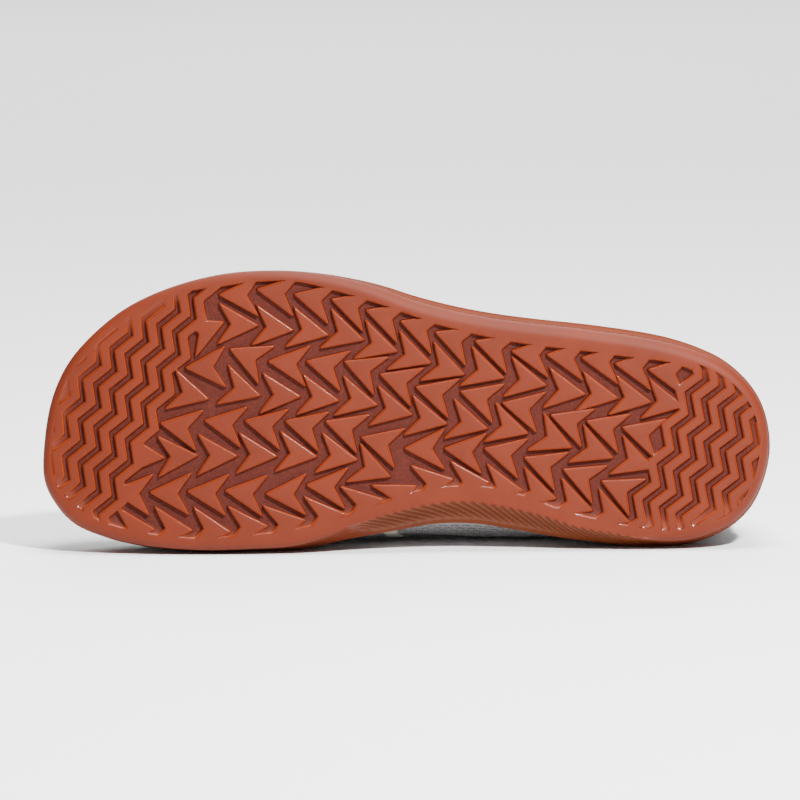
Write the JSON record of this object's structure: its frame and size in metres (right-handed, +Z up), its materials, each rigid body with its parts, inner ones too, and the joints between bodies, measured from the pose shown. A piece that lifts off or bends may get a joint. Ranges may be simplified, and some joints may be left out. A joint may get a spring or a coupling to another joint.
{
  "type": "barefoot shoe",
  "caption": "Left barefoot slip-on shoe with a gum rubber cup sole, arrow and zigzag tread, and a pale knitted upper, lying on its inner side.",
  "frame": {"origin": "bottom centre of the shoe's box, on the floor that it lies on", "axes": "+X from toe to heel, +Y from the sole towards the collar, +Z up, from the inner to the outer side"},
  "size_m": [0.2774, 0.0924, 0.1066],
  "materials": {
    "gum_rubber": "satin gum rubber, grainy in the grooves",
    "foam": "matt cloth over foam",
    "pale_knit": "matt knit with small pinholes",
    "cream_strip": "smooth matt film",
    "binding_knit": "matt ribbed knit"
  },
  "bodies": {
    "root": {"outsole": "gum_rubber", "insole": "foam", "upper": "pale_knit", "saddle_strip": "cream_strip", "collar_binding": "binding_knit"}
  },
  "joints": []
}
